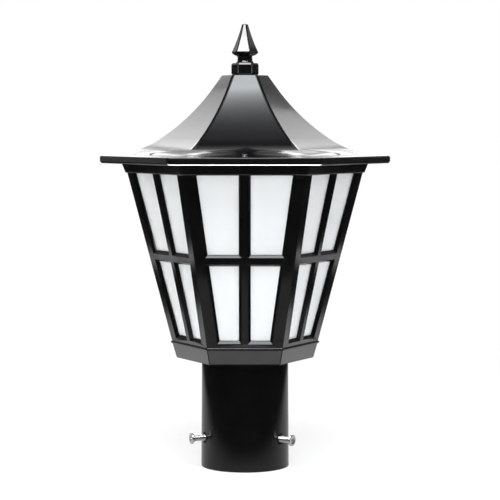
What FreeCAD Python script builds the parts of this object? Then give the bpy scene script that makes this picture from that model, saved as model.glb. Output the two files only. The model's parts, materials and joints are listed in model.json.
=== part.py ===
import FreeCAD, Part
import math
import os

from FreeCAD import Vector

# Hexagonal post-top garden lantern, in millimetres with +Z up.
# The origin is the centre of the fitter's foot. A flat side faces -Y and two corners lie on the X axis.
SIDES = 6

# Post fitter: a drafted sleeve that drops over a round post
POST_DIAMETER = 76.2
POST_CLEARANCE = 0.4
FITTER_WALL = 3.0
FITTER_HEIGHT = 102.2
FITTER_DRAFT = 0.4
FITTER_PLATE = 8.0
CABLE_HOLE_RADIUS = 9.0

# Three set screws that clamp the post, each in a hexagonal insert
SET_SCREW_COUNT = 3
SET_SCREW_LEVEL = 28.7
SET_SCREW_FIRST_ANGLE = 23.5
SET_SCREW_RADIUS = 2.95
SET_SCREW_LENGTH = 13.0
SET_SCREW_BACK_OFF = 0.2
SET_HEAD_RADIUS = 5.4
SET_HEAD_HEIGHT = 3.6
SET_HEAD_CONE = 2.2
SET_HEAD_CROWN = 0.9
SOCKET_FLATS = 4.0
SOCKET_DEPTH = 2.4
INSERT_FLATS = 10.0
INSERT_FLANGE_RADIUS = 7.0
INSERT_FLANGE = 1.3
INSERT_RECESS = 0.1

# Base tray: the flared band under the cage
TRAY_HEIGHT = 16.2
TRAY_FLARE = 14.2
TRAY_WALL = 3.0
TRAY_FLOOR = 3.0
TRAY_STEP = 0.3
TRAY_ROUND = 1.2
BEAD_HEIGHT = 2.6
BEAD_PROUD = 0.95
TRAY_BOSS_RADIUS = 6.0
TRAY_BOSS_INSET = 7.6

# Cage: one moulding of rails, posts and bars, leaning outwards
CAGE_FOOT_APOTHEM = 59.8
CAGE_HEIGHT = 171.2
CAGE_FLARE = 12.8
FRONT_LAYER = 3.4
BACK_LAYER = 2.4
POST_WIDTH = 12.4
MUNTIN_WIDTH = 10.8
BAR_LEVEL = 80.6
BAR_HEIGHT = 10.5
SILL_HEIGHT = 6.0
BEVEL = 2.4
HEAD_BEVEL = 1.0
HEAD_LIP = 0.8
RAIL_HEIGHT = 12.8
RAIL_PROUD = 1.45
RAIL_ROUND = 1.8
RAIL_FLARE = 19.1
TOP_FLANGE = 6.0
TOP_FLANGE_WIDTH = 18.0
FOOT_FLANGE = 4.0
FOOT_FLANGE_WIDTH = 15.0

# Opal panes, dropped into the cage's slots from above
PANE_THICKNESS = 2.5
PANE_CLEARANCE = 0.15
GROOVE_DEPTH = 3.0

# Roof: a concave hexagonal shell with a flat brim and a fascia
ROOF_WALL = 2.5
ROOF_RISE = 75.2
ROOF_TOP_APOTHEM = 19.1
ROOF_WAIST_APOTHEM = 43.3
ROOF_WAIST_RISE = 36.3
EAVE_OVERHANG = 16.5
BRIM_WIDTH = 32.2
BRIM_SLOPE = 5.05
FASCIA_HEIGHT = 7.1
EAVE_ROUND = 1.2
FASCIA_ROUND = 2.0
UPPER_CURVE = 0.7
FLARE_CURVE = 0.95
GASKET_HEIGHT = 2.3
GASKET_WIDTH = 7.0
GASKET_INSET = 0.5
ROOF_SCREW_INSET = 4.4
ROOF_SCREW_RADIUS = 1.5
ROOF_SCREW_DEPTH = 5.0
ROOF_SCREW_END = 0.9
ROOF_HEAD_RADIUS = 2.8
ROOF_HEAD_HEIGHT = 2.2
ROOF_POCKET_CLEARANCE = 0.5

# Finial on the roof
COLLAR_FLATS = 22.7
COLLAR_HEIGHT = 11.1
NECK_RADIUS = 6.9
NECK_FOOT_RADIUS = 7.4
NECK_HEIGHT = 6.6
SPEAR_APOTHEM = 11.1
SPEAR_TIP_APOTHEM = 2.6
SPEAR_HEIGHT = 26.4
SPEAR_UNDERCUT = 3.5
SPEAR_HOLLOW = 0.6
SPEAR_BULGE = 0.5
SPEAR_TURN = -8.5
STUD_RADIUS = 3.0
STUD_GRIP = 7.0
STUD_END = 2.0
WASHER_RADIUS = 8.0
WASHER_THICKNESS = 1.2
STUD_NUT_FLATS = 10.0
STUD_NUT_HEIGHT = 5.0
NUT_CHAMFER = 30.0

# Machine screws used inside
SCREW_RADIUS = 2.0
SCREW_HEAD_RADIUS = 3.6
SCREW_HEAD_HEIGHT = 2.6
SCREW_TIP = 0.8
SCREW_CLEARANCE = 0.3
THREAD_CLEARANCE = 0.05
FITTER_SCREW_CIRCLE = 28.0
FITTER_SCREW_COUNT = 4
FITTER_SCREW_FIRST_ANGLE = 45.0
FITTER_SCREW_END = 2.0
CAGE_SCREW_END = 0.9

# Rubber grommet in the tray floor
GROMMET_BORE = 5.5
GROMMET_FLANGE = 2.5
GROMMET_FLANGE_RADIUS = 12.0
GROMMET_CLEARANCE = 0.1
GROMMET_ROOM = 2.0

# Folded bracket that carries the lampholder
BRACKET_SHEET = 1.5
BRACKET_WIDTH = 24.0
BRACKET_HEIGHT = 24.0
BRACKET_TOP_WIDTH = 38.0
BRACKET_SPAN = 70.0
BRACKET_BEND = 1.5
BRACKET_SCREW_COUNT = 2
BRACKET_ANGLE = 90.0

# Lampholder and lamp
HOLDER_RADIUS = 18.5
HOLDER_HEIGHT = 36.0
HOLDER_FLOOR = 10.0
HOLDER_WALL = 3.2
HOLDER_LIP = 1.5
HOLDER_SCREW_RADIUS = 1.5
HOLDER_SCREW_COUNT = 2
HOLDER_SCREW_CIRCLE = 9.0
HOLDER_HEAD_RADIUS = 2.7
HOLDER_HEAD_HEIGHT = 1.8
SHELL_WALL = 0.8
SHELL_HEIGHT = 22.0
SHELL_CLEARANCE = 0.2
CONTACT_RADIUS = 5.0
CONTACT_HEIGHT = 4.0
CAP_CLEARANCE = 0.5
CAP_HEIGHT = 25.0
CAP_TIP = 3.0
LAMP_NECK_HEIGHT = 16.0
LAMP_RADIUS = 20.0
LAMP_GLASS_HEIGHT = 66.0
LAMP_BEVEL = 6.0

ORIGIN = Vector(0, 0, 0)
X_AXIS = Vector(1, 0, 0)
Y_AXIS = Vector(0, 1, 0)
UP = Vector(0, 0, 1)
FACE_ANGLE = 360.0 / SIDES
HALF_FACE = math.radians(FACE_ANGLE / 2)
PAST = 1.0


def tan_deg(angle):
    return math.tan(math.radians(angle))


# Worked-out levels and sizes
BORE_RADIUS = POST_DIAMETER / 2 + POST_CLEARANCE
FITTER_FOOT_RADIUS = BORE_RADIUS + FITTER_WALL
TRAY_FLOOR_TOP = FITTER_HEIGHT + TRAY_FLOOR
CAGE_FOOT = FITTER_HEIGHT + TRAY_HEIGHT
CAGE_TOP = CAGE_FOOT + CAGE_HEIGHT
TRAY_TOP_APOTHEM = CAGE_FOOT_APOTHEM + TRAY_STEP
TRAY_FOOT_APOTHEM = TRAY_TOP_APOTHEM - TRAY_HEIGHT * tan_deg(TRAY_FLARE)
CAGE_LEAN = math.radians(CAGE_FLARE)
PANE_SLOT = PANE_THICKNESS + 2 * PANE_CLEARANCE
CAGE_WALL = FRONT_LAYER + PANE_SLOT + BACK_LAYER
RAIL_LOW = CAGE_TOP - RAIL_HEIGHT
WINDOW_LOW = CAGE_FOOT + SILL_HEIGHT
WINDOW_HIGH = RAIL_LOW - HEAD_LIP
BAR_LOW = CAGE_FOOT + BAR_LEVEL - BAR_HEIGHT / 2
BAR_HIGH = BAR_LOW + BAR_HEIGHT


def cage_apothem(height):
    return CAGE_FOOT_APOTHEM + (height - CAGE_FOOT) * math.tan(CAGE_LEAN)


RAIL_LOW_APOTHEM = cage_apothem(RAIL_LOW) + RAIL_PROUD
RAIL_TOP_APOTHEM = RAIL_LOW_APOTHEM + RAIL_HEIGHT * tan_deg(RAIL_FLARE)
EAVE_APOTHEM = RAIL_TOP_APOTHEM + EAVE_OVERHANG
GASKET_APOTHEM = RAIL_TOP_APOTHEM - GASKET_INSET
BRIM_WALL = ROOF_WALL / math.cos(math.radians(BRIM_SLOPE))
EAVE_DROP = (EAVE_APOTHEM - GASKET_APOTHEM) * tan_deg(BRIM_SLOPE)
EAVE_TOP = CAGE_TOP + GASKET_HEIGHT + BRIM_WALL - EAVE_DROP
FASCIA_FOOT = EAVE_TOP - FASCIA_HEIGHT
ROOF_TOP = EAVE_TOP + ROOF_RISE
ROOF_SCREW_APOTHEM = RAIL_TOP_APOTHEM - ROOF_SCREW_INSET
POCKET_RADIUS = ROOF_HEAD_RADIUS + ROOF_POCKET_CLEARANCE
COLLAR_TOP = ROOF_TOP + COLLAR_HEIGHT
NECK_TOP = COLLAR_TOP + NECK_HEIGHT
SPEAR_WIDEST = NECK_TOP + SPEAR_UNDERCUT
SPEAR_TIP = SPEAR_WIDEST + SPEAR_HEIGHT
BRACKET_TOP = TRAY_FLOOR_TOP + BRACKET_HEIGHT
HOLDER_FLOOR_TOP = BRACKET_TOP + HOLDER_FLOOR
CONTACT_TOP = HOLDER_FLOOR_TOP + CONTACT_HEIGHT
SHELL_OUTER = HOLDER_RADIUS - HOLDER_WALL - SHELL_CLEARANCE
CAP_RADIUS = SHELL_OUTER - SHELL_WALL - CAP_CLEARANCE
TRAY_BOSS_CIRCLE = (TRAY_FOOT_APOTHEM - TRAY_BOSS_INSET) / math.cos(HALF_FACE)


# Drawing helpers: outlines lie in the YZ plane as (distance from the axis, height)
def spot(out, height):
    return Vector(0, out, height)


def rounded_path(points, radii):
    """Edges along points, with an arc of the given radius at each inner corner that has one."""
    edges = []
    start = points[0]
    for before, corner, after, radius in zip(points, points[1:], points[2:], radii):
        into = (corner - before).normalize()
        out = (after - corner).normalize()
        half_turn = into.getAngle(out) / 2
        first = corner - into * radius * math.tan(half_turn)
        last = corner + out * radius * math.tan(half_turn)
        edges.append(Part.makeLine(start, first))
        if radius > 0:
            middle = corner + (out - into).normalize() * radius * (1 / math.cos(half_turn) - 1)
            edges.append(Part.Arc(first, middle, last).toShape())
        start = last
    edges.append(Part.makeLine(start, points[-1]))
    return edges


def path(points):
    return rounded_path(points, [0] * (len(points) - 2))


def offset_path(points, inset):
    """The same runs moved inset to their right-hand side and mitred at the corners."""
    runs = [(b - a).normalize() for a, b in zip(points, points[1:])]
    sides = [spot(run.z, -run.y) for run in runs]
    moved = [points[0] + sides[0] * inset]
    for corner, one, two in zip(points[1:], sides, sides[1:]):
        moved.append(corner + (one + two) * (inset / (1 + one.dot(two))))
    moved.append(points[-1] + sides[-1] * inset)
    return moved


def closed_face(edges):
    return Part.Face(Part.Wire(Part.__sortEdges__(edges)))


def turned(points):
    """Solid of revolution from an outline whose first and last points lie on the axis."""
    return closed_face(path(points + points[:1])).revolve(ORIGIN, UP, 360)


def hex_body(half_edges):
    """Hexagonal solid whose apothem at each height is the half outline's distance from the axis."""
    other_half = [edge.mirror(ORIGIN, Y_AXIS) for edge in half_edges]
    outline = closed_face(half_edges + other_half)
    reach = 2 * outline.BoundBox.YMax
    slab = outline.extrude(X_AXIS * 2 * reach)
    slab.translate(X_AXIS * -reach)
    body = slab
    for turn in range(1, SIDES // 2):
        body = body.common(slab.rotated(ORIGIN, UP, turn * FACE_ANGLE))
    return body.removeSplitter()


def hex_frustum(low_apothem, low, high_apothem, high):
    return hex_body(path([spot(0, low), spot(low_apothem, low), spot(high_apothem, high), spot(0, high)]))


def cylinder(radius, low, high, out=0.0):
    return Part.makeCylinder(radius, high - low, Vector(0, -out, low))


def around(shape, count=SIDES, first=0.0):
    """Copies of a shape turned about the axis at even steps."""
    return [shape.rotated(ORIGIN, UP, first + step * 360.0 / count) for step in range(count)]


def screw(radius, tip, seat, head_radius, head_height):
    """Pan-head screw on the axis, its head standing on the seat."""
    crown = seat + head_height
    outline = [
        spot(0, tip),
        spot(radius - SCREW_TIP, tip),
        spot(radius, tip + SCREW_TIP),
        spot(radius, seat),
        spot(head_radius, seat),
        spot(head_radius, seat + head_height / 2),
        spot(head_radius - head_height / 3, crown),
        spot(0, crown),
    ]
    return turned(outline)


def hex_nut(flats, low, high, hole_radius):
    """Hexagon nut with both ends chamfered down to its flats."""
    flat = flats / 2
    corner = flat / math.cos(HALF_FACE)
    drop = (corner - flat) * tan_deg(NUT_CHAMFER)
    outline = [
        spot(0, low),
        spot(flat, low),
        spot(corner, low + drop),
        spot(corner, high - drop),
        spot(flat, high),
        spot(0, high),
    ]
    body = hex_frustum(flat, low, flat, high).common(turned(outline))
    return body.cut(cylinder(hole_radius, low - PAST, high + PAST))


# Post fitter and its clamping screws
def fitter_radius(height):
    return FITTER_FOOT_RADIUS - height * tan_deg(FITTER_DRAFT)


INSERT_FACE = fitter_radius(SET_SCREW_LEVEL) - INSERT_RECESS
INSERT_BACK = BORE_RADIUS + INSERT_RECESS
FLANGE_FACE = INSERT_BACK + INSERT_FLANGE
SET_SCREW_TIP = BORE_RADIUS + SET_SCREW_BACK_OFF
SET_SCREW_SEAT = SET_SCREW_TIP + SET_SCREW_LENGTH


def lay_radial(shape):
    """Lays a shape drawn up the Z axis along +X at the set screws' level."""
    laid = shape.rotated(ORIGIN, Y_AXIS, 90)
    laid.translate(UP * SET_SCREW_LEVEL)
    return laid


def insert_space(near, gap):
    """The room that an insert takes up in the wall: a flange inside and a hexagon through to the outside."""
    flange = cylinder(INSERT_FLANGE_RADIUS + gap, near, FLANGE_FACE)
    flat = INSERT_FLATS / 2 + gap
    reach = PAST if gap else 0
    return flange.fuse(hex_frustum(flat, near, flat, INSERT_FACE + reach).rotated(ORIGIN, UP, FACE_ANGLE / 2))


def set_screw_insert():
    bore = cylinder(SET_SCREW_RADIUS + THREAD_CLEARANCE, INSERT_BACK - PAST, INSERT_FACE + PAST)
    return lay_radial(insert_space(INSERT_BACK, 0).removeSplitter().cut(bore))


def set_screw():
    """Screw with a trumpet head, coned to its shank, and a hexagon socket."""
    crown = SET_SCREW_SEAT + SET_HEAD_HEIGHT
    outline = [
        spot(0, SET_SCREW_TIP),
        spot(SET_SCREW_RADIUS - SCREW_TIP, SET_SCREW_TIP),
        spot(SET_SCREW_RADIUS, SET_SCREW_TIP + SCREW_TIP),
        spot(SET_SCREW_RADIUS, SET_SCREW_SEAT),
        spot(SET_HEAD_RADIUS, SET_SCREW_SEAT + SET_HEAD_CONE),
        spot(SET_HEAD_RADIUS, crown - SET_HEAD_CROWN),
        spot(SET_HEAD_RADIUS - SET_HEAD_CROWN, crown),
        spot(0, crown),
    ]
    flat = SOCKET_FLATS / 2
    return lay_radial(turned(outline).cut(hex_frustum(flat, crown - SOCKET_DEPTH, flat, crown + PAST)))


def floor_screw_holes(radius, low, high):
    """Holes for the fitter's screws and, between them, the bracket's two."""
    hole = cylinder(radius, low, high, FITTER_SCREW_CIRCLE)
    fitter_holes = around(hole, FITTER_SCREW_COUNT, FITTER_SCREW_FIRST_ANGLE)
    return fitter_holes + around(hole, BRACKET_SCREW_COUNT, BRACKET_ANGLE)


def post_fitter():
    sleeve = turned([
        spot(0, 0),
        spot(FITTER_FOOT_RADIUS, 0),
        spot(fitter_radius(FITTER_HEIGHT), FITTER_HEIGHT),
        spot(0, FITTER_HEIGHT),
    ])
    stop = FITTER_HEIGHT - FITTER_PLATE
    cuts = [cylinder(BORE_RADIUS, -PAST, stop)]
    cuts.append(cylinder(GROMMET_FLANGE_RADIUS + GROMMET_ROOM, 0, FITTER_HEIGHT + PAST))
    cuts += floor_screw_holes(SCREW_RADIUS + THREAD_CLEARANCE, stop - PAST, FITTER_HEIGHT + PAST)
    seat = lay_radial(insert_space(BORE_RADIUS - PAST, THREAD_CLEARANCE))
    cuts += around(seat, SET_SCREW_COUNT, SET_SCREW_FIRST_ANGLE + 180)
    return sleeve.cut(cuts)


def floor_screws(count, first, seat):
    """Screws through the tray floor into the fitter's plate, their heads on the seat."""
    tip = FITTER_HEIGHT - FITTER_PLATE + FITTER_SCREW_END
    body = screw(SCREW_RADIUS, tip, seat, SCREW_HEAD_RADIUS, SCREW_HEAD_HEIGHT)
    body.translate(Y_AXIS * -FITTER_SCREW_CIRCLE)
    return Part.makeCompound(around(body, count, first))


# Base tray and grommet
def corner_places(shape):
    """Copies of a shape on the axis, set at the tray's six corner bosses."""
    moved = shape.translated(X_AXIS * TRAY_BOSS_CIRCLE)
    return around(moved)


CAGE_SCREW_SEAT = FITTER_HEIGHT + SCREW_HEAD_HEIGHT + SCREW_CLEARANCE


def tray_band():
    """The flared band, rounded at its foot and with a half-round bead along its top."""
    bead_low = spot(TRAY_TOP_APOTHEM - BEAD_HEIGHT * tan_deg(TRAY_FLARE), CAGE_FOOT - BEAD_HEIGHT)
    bead_high = spot(TRAY_TOP_APOTHEM, CAGE_FOOT)
    crest = spot(CAGE_FOOT_APOTHEM + BEAD_PROUD, CAGE_FOOT - BEAD_HEIGHT / 2)
    foot = spot(TRAY_FOOT_APOTHEM, FITTER_HEIGHT)
    half = rounded_path([spot(0, FITTER_HEIGHT), foot, bead_low], [TRAY_ROUND])
    half.append(Part.Arc(bead_low, crest, bead_high).toShape())
    return hex_body(half + path([bead_high, spot(0, CAGE_FOOT)]))


def base_tray():
    floor_apothem = TRAY_FOOT_APOTHEM + TRAY_FLOOR * tan_deg(TRAY_FLARE) - TRAY_WALL
    spread = (TRAY_HEIGHT - TRAY_FLOOR + PAST) * tan_deg(TRAY_FLARE)
    hollow = hex_frustum(floor_apothem, TRAY_FLOOR_TOP, floor_apothem + spread, CAGE_FOOT + PAST)
    bosses = corner_places(cylinder(TRAY_BOSS_RADIUS, FITTER_HEIGHT + TRAY_ROUND, CAGE_FOOT))
    tray = tray_band().cut(hollow).fuse(bosses)
    cuts = [cylinder(CABLE_HOLE_RADIUS, FITTER_HEIGHT - PAST, TRAY_FLOOR_TOP + PAST)]
    cuts += floor_screw_holes(SCREW_RADIUS + SCREW_CLEARANCE, FITTER_HEIGHT - PAST, TRAY_FLOOR_TOP + PAST)
    cuts += corner_places(cylinder(SCREW_RADIUS + SCREW_CLEARANCE, FITTER_HEIGHT - PAST, CAGE_FOOT + PAST))
    cuts += corner_places(cylinder(SCREW_HEAD_RADIUS + SCREW_CLEARANCE, FITTER_HEIGHT - PAST, CAGE_SCREW_SEAT))
    return tray.cut(cuts).removeSplitter()


def cage_screws():
    """Screws driven up from under the tray into the cage's foot flange."""
    tip = CAGE_FOOT + FOOT_FLANGE - CAGE_SCREW_END
    body = screw(SCREW_RADIUS, -tip, -CAGE_SCREW_SEAT, SCREW_HEAD_RADIUS, SCREW_HEAD_HEIGHT)
    return Part.makeCompound(corner_places(body.rotated(ORIGIN, X_AXIS, 180)))


def cable_grommet():
    waist = CABLE_HOLE_RADIUS - GROMMET_CLEARANCE
    outline = [
        spot(GROMMET_BORE, FITTER_HEIGHT - GROMMET_FLANGE),
        spot(GROMMET_FLANGE_RADIUS, FITTER_HEIGHT - GROMMET_FLANGE),
        spot(GROMMET_FLANGE_RADIUS, FITTER_HEIGHT),
        spot(waist, FITTER_HEIGHT),
        spot(waist, TRAY_FLOOR_TOP),
        spot(GROMMET_FLANGE_RADIUS, TRAY_FLOOR_TOP),
        spot(GROMMET_FLANGE_RADIUS, TRAY_FLOOR_TOP + GROMMET_FLANGE),
        spot(GROMMET_BORE, TRAY_FLOOR_TOP + GROMMET_FLANGE),
    ]
    return turned(outline)


# Cage and panes, drawn on the front face
def face_point(across, height, depth):
    """Point of the front face at a height on its surface, sunk square to the face by a depth."""
    y = -cage_apothem(height) + depth * math.cos(CAGE_LEAN)
    return Vector(across, y, height + depth * math.sin(CAGE_LEAN))


def face_side(height, post):
    return cage_apothem(height) * math.tan(HALF_FACE) - post


def face_outline(corners, depth):
    points = [face_point(across, height, depth) for across, height in corners]
    return Part.makePolygon(points + points[:1])


def face_block(corners, near, far):
    """Prism through the face between two depths."""
    return Part.makeLoft([face_outline(corners, near), face_outline(corners, far)], True, True)


def window_corners(grow, low, high):
    """A trapezoid that follows the posts, grown past the window's edge."""
    side_low = face_side(low, POST_WIDTH - grow)
    side_high = face_side(high, POST_WIDTH - grow)
    return [(-side_low, low), (side_low, low), (side_high, high), (-side_high, high)]


def light_corners(low, high, grow, head_grow):
    """One light to the right of the muntin, grown by its bevel on every side."""
    bottom = low - grow * math.cos(CAGE_LEAN)
    top = high + head_grow * math.cos(CAGE_LEAN)
    inner = MUNTIN_WIDTH / 2 - grow
    post = POST_WIDTH - grow
    return [(inner, bottom), (face_side(bottom, post), bottom), (face_side(top, post), top), (inner, top)]


def light_cut(low, high, head_bevel):
    """Bevelled opening of one light with straight walls behind the bevel."""
    spread = (BEVEL + PAST) / BEVEL
    mouth = face_outline(light_corners(low, high, BEVEL * spread, head_bevel * spread), -PAST)
    edge = light_corners(low, high, 0, 0)
    bevel = Part.makeLoft([mouth, face_outline(edge, BEVEL)], True, True)
    return bevel.fuse(face_block(edge, BEVEL, FRONT_LAYER + PANE_CLEARANCE))


def slot_corners(gap, top):
    return window_corners(GROOVE_DEPTH - gap, WINDOW_LOW - GROOVE_DEPTH, top)


def window_cuts():
    """Everything cut from one face: four lights, the pane's slot and the opening behind it."""
    rights = [light_cut(WINDOW_LOW, BAR_LOW, BEVEL), light_cut(BAR_HIGH, WINDOW_HIGH, HEAD_BEVEL)]
    lefts = [light.mirror(ORIGIN, X_AXIS) for light in rights]
    slot = face_block(slot_corners(0, CAGE_TOP + PAST), FRONT_LAYER, FRONT_LAYER + PANE_SLOT)
    opening = window_corners(0, WINDOW_LOW, WINDOW_HIGH)
    back = face_block(opening, FRONT_LAYER + PANE_CLEARANCE, CAGE_WALL + PAST)
    return rights + lefts + [slot, back]


def roof_screw_places(shape):
    """Copies of a shape on the axis, set over the middle of each face."""
    return around(shape.translated(Y_AXIS * -ROOF_SCREW_APOTHEM))


def top_rail():
    """The flared rail under the roof, rounded along its lower edge, before the cage's body is cut from it."""
    low_edge, top_edge = spot(RAIL_LOW_APOTHEM, RAIL_LOW), spot(RAIL_TOP_APOTHEM, CAGE_TOP)
    return hex_body(rounded_path([spot(0, RAIL_LOW), low_edge, top_edge, spot(0, CAGE_TOP)], [RAIL_ROUND, 0]))


def cage():
    wall = CAGE_WALL / math.cos(CAGE_LEAN)
    outside = hex_frustum(CAGE_FOOT_APOTHEM, CAGE_FOOT, cage_apothem(CAGE_TOP), CAGE_TOP)
    low, high = CAGE_FOOT - PAST, CAGE_TOP + PAST
    inside = hex_frustum(cage_apothem(low) - wall, low, cage_apothem(high) - wall, high)
    flange_low = CAGE_TOP - TOP_FLANGE
    rail = top_rail()
    inner_top = cage_apothem(flange_low) - TOP_FLANGE_WIDTH
    flange = hex_frustum(cage_apothem(flange_low), flange_low, cage_apothem(CAGE_TOP), CAGE_TOP)
    flange = flange.cut(hex_frustum(inner_top, flange_low - PAST, inner_top, high))
    foot_high = CAGE_FOOT + FOOT_FLANGE
    inner_foot = CAGE_FOOT_APOTHEM - FOOT_FLANGE_WIDTH
    foot = hex_frustum(CAGE_FOOT_APOTHEM, CAGE_FOOT, cage_apothem(foot_high), foot_high)
    foot = foot.cut(hex_frustum(inner_foot, low, inner_foot, foot_high + PAST))
    shell = outside.cut(inside).fuse([flange, foot])
    cuts = []
    for tool in window_cuts():
        cuts += around(tool)
    rail_core = hex_frustum(cage_apothem(RAIL_LOW), RAIL_LOW, cage_apothem(CAGE_TOP), CAGE_TOP)
    body = shell.cut(cuts).fuse(rail.cut(rail_core))
    pilots = corner_places(cylinder(SCREW_RADIUS + THREAD_CLEARANCE, low, foot_high + PAST))
    pilot = cylinder(ROOF_SCREW_RADIUS + THREAD_CLEARANCE, CAGE_TOP - ROOF_SCREW_DEPTH, high)
    pilots += roof_screw_places(pilot)
    return body.cut(pilots).removeSplitter()


def pane():
    """Front pane: it stands on the floor of its slot."""
    top = WINDOW_HIGH + GROOVE_DEPTH
    near = FRONT_LAYER + PANE_CLEARANCE
    return face_block(slot_corners(PANE_CLEARANCE, top), near, near + PANE_THICKNESS)


# Roof
def roof_corners():
    """Outer outline of the roof from the axis at its top to the foot of the fascia."""
    brim_corner = spot(EAVE_APOTHEM - BRIM_WIDTH, EAVE_TOP + BRIM_WIDTH * tan_deg(BRIM_SLOPE))
    return [
        spot(0, ROOF_TOP),
        spot(ROOF_TOP_APOTHEM, ROOF_TOP),
        spot(ROOF_WAIST_APOTHEM, EAVE_TOP + ROOF_WAIST_RISE),
        brim_corner,
        spot(EAVE_APOTHEM, EAVE_TOP),
        spot(EAVE_APOTHEM, FASCIA_FOOT),
    ]


def roof_radii():
    """Radii of the long upper curve and of the flare into the brim, as large as their runs allow."""
    top, waist, brim, eave = roof_corners()[1:5]
    steep, middle, flat = waist - top, brim - waist, eave - brim
    upper_reach = UPPER_CURVE * min(steep.Length, middle.Length)
    flare_reach = FLARE_CURVE * min(middle.Length - upper_reach, flat.Length)
    upper = upper_reach / math.tan(steep.getAngle(middle) / 2)
    return upper, flare_reach / math.tan(middle.getAngle(flat) / 2)


def roof_outside():
    upper, flare = roof_radii()
    corners = roof_corners() + [spot(0, FASCIA_FOOT)]
    return hex_body(rounded_path(corners, [0, upper, flare, EAVE_ROUND, FASCIA_ROUND]))


def roof_inside():
    upper, flare = roof_radii()
    corners = offset_path(roof_corners(), ROOF_WALL)
    foot = FASCIA_FOOT - PAST
    corners = corners[:-1] + [spot(EAVE_APOTHEM - ROOF_WALL, foot), spot(0, foot)]
    return hex_body(rounded_path(corners, [0, upper + ROOF_WALL, flare + ROOF_WALL, 0, 0]))


def roof_height(outside, apothem):
    """Height of the outer surface over the middle of the front face."""
    probe = Part.makeLine(Vector(0, -apothem, FASCIA_FOOT), Vector(0, -apothem, ROOF_TOP))
    return probe.common(outside).BoundBox.ZMax


def roof_screw_seat(outside):
    return roof_height(outside, ROOF_SCREW_APOTHEM + POCKET_RADIUS)


def roof_screw_holes():
    return roof_screw_places(cylinder(ROOF_SCREW_RADIUS + SCREW_CLEARANCE, CAGE_TOP - PAST, ROOF_TOP))


def roof(outside):
    seat = roof_screw_seat(outside)
    cuts = roof_screw_places(cylinder(POCKET_RADIUS, seat, ROOF_TOP))
    cuts += roof_screw_holes()
    cuts.append(cylinder(STUD_RADIUS + SCREW_CLEARANCE, ROOF_TOP - ROOF_WALL - PAST, ROOF_TOP + PAST))
    return outside.cut(roof_inside()).cut(cuts)


def roof_screws(outside):
    tip = CAGE_TOP - ROOF_SCREW_DEPTH + ROOF_SCREW_END
    body = screw(ROOF_SCREW_RADIUS, tip, roof_screw_seat(outside), ROOF_HEAD_RADIUS, ROOF_HEAD_HEIGHT)
    return Part.makeCompound(roof_screw_places(body))


def roof_gasket():
    """Ring on the cage's top that fills up to the underside of the brim, with holes for the roof's screws."""
    inner = GASKET_APOTHEM - GASKET_WIDTH
    ring = hex_frustum(GASKET_APOTHEM, CAGE_TOP, GASKET_APOTHEM, ROOF_TOP)
    ring = ring.cut(hex_frustum(inner, CAGE_TOP - PAST, inner, ROOF_TOP + PAST))
    return ring.common(roof_inside()).cut(roof_screw_holes())


# Finial, its collar and the stud that holds both to the roof
def finial():
    tip = spot(SPEAR_TIP_APOTHEM, SPEAR_TIP)
    widest = spot(SPEAR_APOTHEM, SPEAR_WIDEST)
    middle = (tip + widest) * 0.5 - spot(SPEAR_HOLLOW, 0)
    foot = spot(NECK_RADIUS * math.cos(HALF_FACE), NECK_TOP)
    under = (widest + foot) * 0.5 + spot(SPEAR_BULGE, -SPEAR_BULGE)
    half = path([spot(0, SPEAR_TIP), tip])
    half.append(Part.Arc(tip, middle, widest).toShape())
    half.append(Part.Arc(widest, under, foot).toShape())
    half += path([foot, spot(0, NECK_TOP)])
    spear = hex_body(half).rotated(ORIGIN, UP, SPEAR_TURN)
    neck = Part.makeCone(NECK_FOOT_RADIUS, NECK_RADIUS, NECK_HEIGHT, UP * COLLAR_TOP)
    body = spear.fuse(neck)
    return body.cut(cylinder(STUD_RADIUS + THREAD_CLEARANCE, COLLAR_TOP - PAST, COLLAR_TOP + STUD_GRIP))


def finial_nut():
    return hex_nut(COLLAR_FLATS, ROOF_TOP, COLLAR_TOP, STUD_RADIUS + THREAD_CLEARANCE)


WASHER_TOP = ROOF_TOP - ROOF_WALL
STUD_NUT_TOP = WASHER_TOP - WASHER_THICKNESS
STUD_NUT_LOW = STUD_NUT_TOP - STUD_NUT_HEIGHT


def finial_stud():
    low = STUD_NUT_LOW - STUD_END
    high = COLLAR_TOP + STUD_GRIP
    outline = [
        spot(0, low),
        spot(STUD_RADIUS - SCREW_TIP, low),
        spot(STUD_RADIUS, low + SCREW_TIP),
        spot(STUD_RADIUS, high - SCREW_TIP),
        spot(STUD_RADIUS - SCREW_TIP, high),
        spot(0, high),
    ]
    return turned(outline)


def stud_washer():
    disc = cylinder(WASHER_RADIUS, STUD_NUT_TOP, WASHER_TOP)
    return disc.cut(cylinder(STUD_RADIUS + SCREW_CLEARANCE, STUD_NUT_TOP - PAST, WASHER_TOP + PAST))


def stud_nut():
    return hex_nut(STUD_NUT_FLATS, STUD_NUT_LOW, STUD_NUT_TOP, STUD_RADIUS + THREAD_CLEARANCE)


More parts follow.
